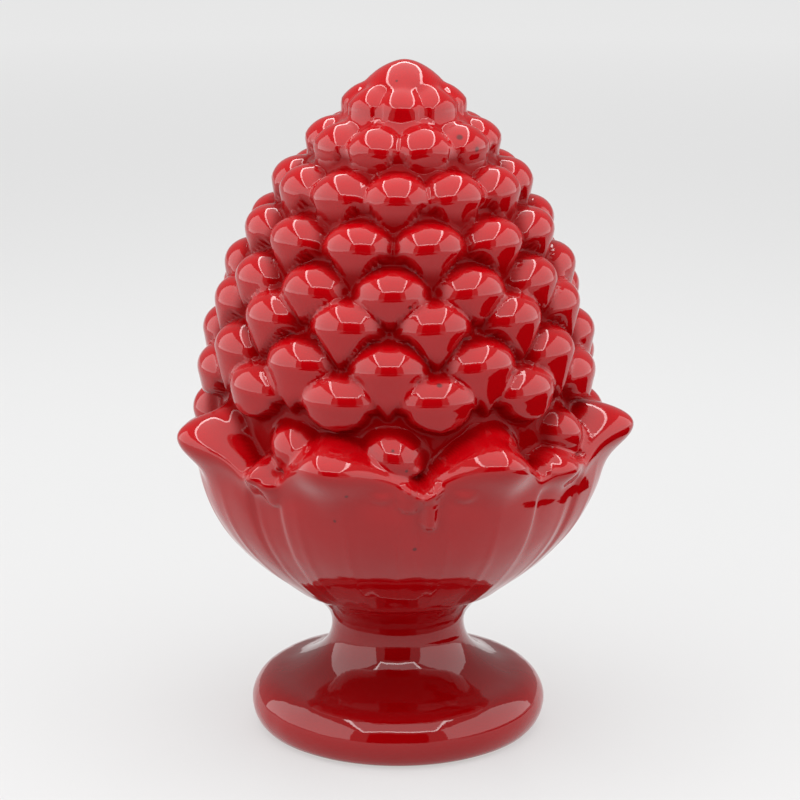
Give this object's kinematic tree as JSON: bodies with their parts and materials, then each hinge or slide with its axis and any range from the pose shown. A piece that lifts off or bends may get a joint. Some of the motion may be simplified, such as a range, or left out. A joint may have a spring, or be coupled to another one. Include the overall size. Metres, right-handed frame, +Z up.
{
  "type": "pinecone finial",
  "caption": "Glazed ceramic pinecone finial: an egg-shaped cone of scales in a cup of curled leaves, on a short neck and a round foot. It stands by its own weight.",
  "frame": {"origin": "centre of the foot's flat underside, on the axis of the cup and cone", "axes": "+Z up along the axis to the cone's tip, -Y towards the front that the picture shows, +X to the right"},
  "size_m": [0.1324, 0.1366, 0.2004],
  "materials": {
    "red_glaze": "very glossy, deep red glaze over clay, thicker and darker in the grooves"
  },
  "bodies": {
    "root": {"pinecone_finial": "red_glaze"}
  },
  "joints": []
}
